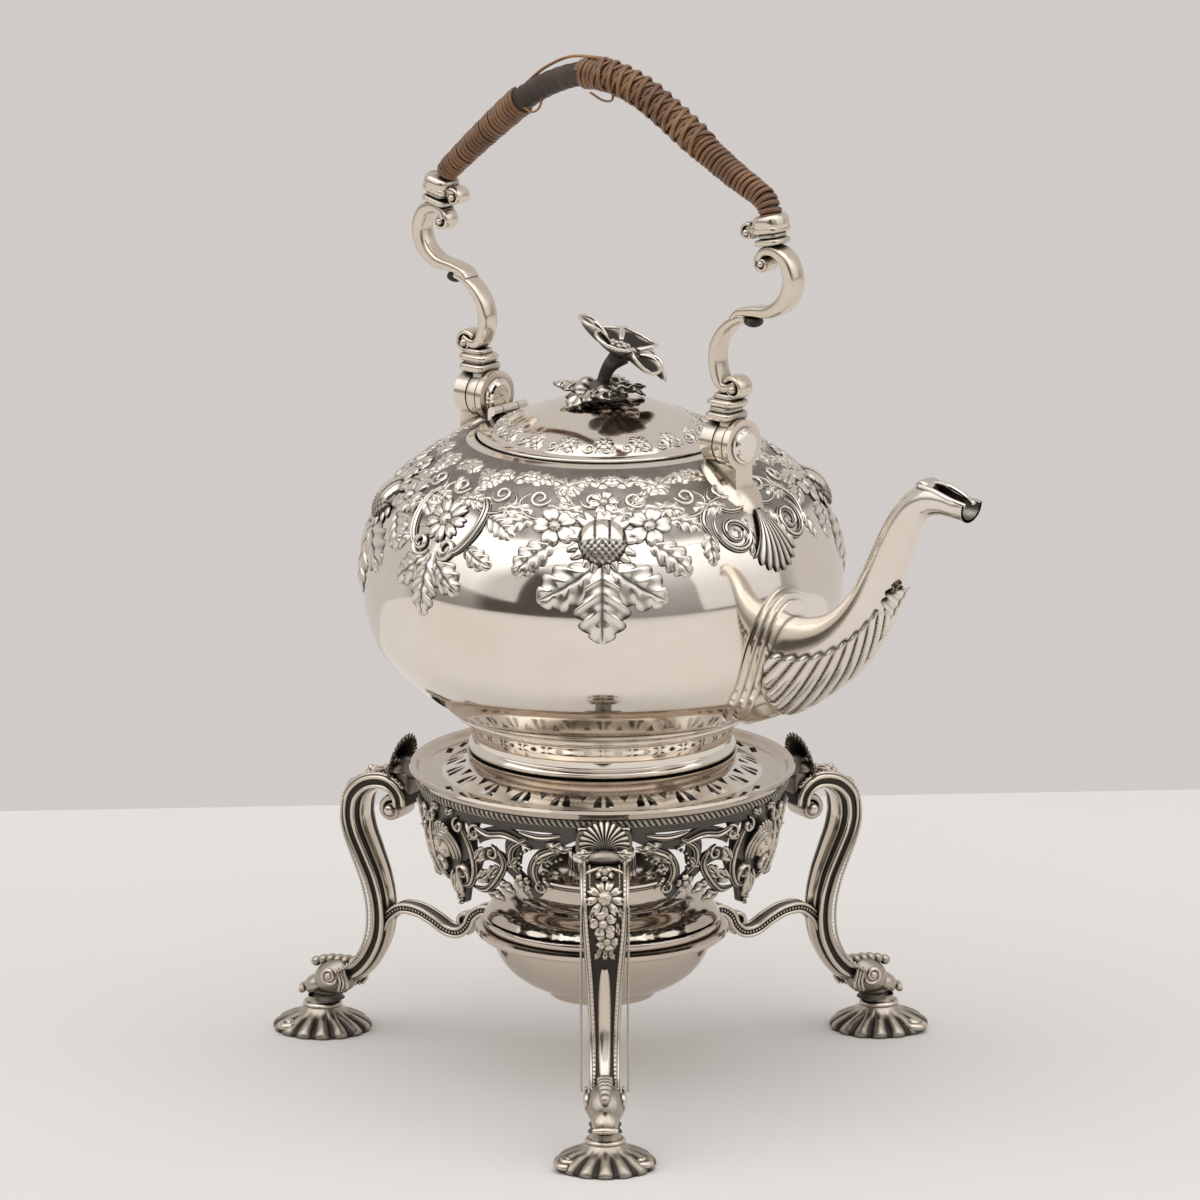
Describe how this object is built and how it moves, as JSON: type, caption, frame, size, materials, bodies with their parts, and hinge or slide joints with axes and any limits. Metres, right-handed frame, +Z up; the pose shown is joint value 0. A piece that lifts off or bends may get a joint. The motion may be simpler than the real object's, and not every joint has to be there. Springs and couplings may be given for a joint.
{
  "type": "spirit kettle on stand",
  "caption": "Hot-water kettle with swan-neck spout, hinged lid and swinging bail handle, seated in a pierced footed stand that holds a spirit lamp below.",
  "frame": {"origin": "on the table plane, under the common axis of the stand and the kettle", "axes": "+Z up along the kettle's axis; +X towards the spout, with the bail handle in the XZ plane; the stand's front leg points 48 degrees from +X towards -Y"},
  "size_m": [0.309, 0.2384, 0.3825],
  "materials": {
    "polished_silver": "polished silver with a slightly warm tone",
    "cast_silver": "cast and chased silver, dark in the recesses",
    "dark_leather": "worn dark leather",
    "rattan": "varnished woven rattan",
    "cotton_wick": "cotton wick, charred at its end"
  },
  "bodies": {
    "stand": {"stand_plate": "polished_silver", "pierced_band": "cast_silver", "gallery_ring": "polished_silver", "milled_band": "cast_silver", "leg_front": "cast_silver", "leg_right": "cast_silver", "leg_left": "cast_silver", "foot_front": "cast_silver", "foot_right": "cast_silver", "foot_left": "cast_silver", "lamp_bracket_front": "cast_silver", "lamp_bracket_right": "cast_silver", "lamp_bracket_left": "cast_silver", "lamp_ring": "polished_silver", "apron_right": "cast_silver", "apron_rear": "cast_silver", "apron_left": "cast_silver", "mask_right": "cast_silver", "mask_rear": "cast_silver", "mask_left": "cast_silver"},
    "lamp": {"lamp_bowl": "polished_silver", "lamp_top": "polished_silver"},
    "burner": {"lamp_burner": "polished_silver", "lamp_wick": "cotton_wick"},
    "kettle": {"kettle_body": "polished_silver", "kettle_foot": "polished_silver", "spout": "cast_silver", "spout_collar": "cast_silver", "lug_front": "cast_silver", "lug_rear": "cast_silver", "hinge_pin_front": "polished_silver", "hinge_pin_rear": "polished_silver", "lid_hinge_base": "polished_silver", "lid_hinge_pin": "polished_silver"},
    "lid": {"lid": "polished_silver", "lid_hinge_leaf": "polished_silver", "finial_leaves": "cast_silver", "finial_stem": "cast_silver", "finial_flower": "cast_silver", "finial_nut": "cast_silver"},
    "handle": {"handle_arm_front": "cast_silver", "handle_arm_rear": "cast_silver", "handle_core": "dark_leather", "rattan_front": "rattan", "rattan_rear": "rattan", "rattan_strand": "rattan"}
  },
  "joints": [
    {"name": "kettle_lift", "type": "slide", "parent": "stand", "child": "kettle", "axis": [0, 0, 1], "range_m": [0, 0.06]},
    {"name": "lamp_lift", "type": "slide", "parent": "stand", "child": "lamp", "axis": [0, 0, 1], "range_m": [0, 0.03]},
    {"name": "burner_lift", "type": "slide", "parent": "lamp", "child": "burner", "axis": [0, 0, 1], "range_m": [0, 0.012]},
    {"name": "lid_hinge", "type": "hinge", "parent": "kettle", "child": "lid", "pos_m": [-0.0459, 0, 0.2432], "axis": [0, -1, 0], "range_deg": [0, 45]},
    {"name": "handle_swing", "type": "hinge", "parent": "kettle", "child": "handle", "pos_m": [0.0596, 0, 0.2469], "axis": [1, 0, 0], "range_deg": [-100, 100]}
  ]
}
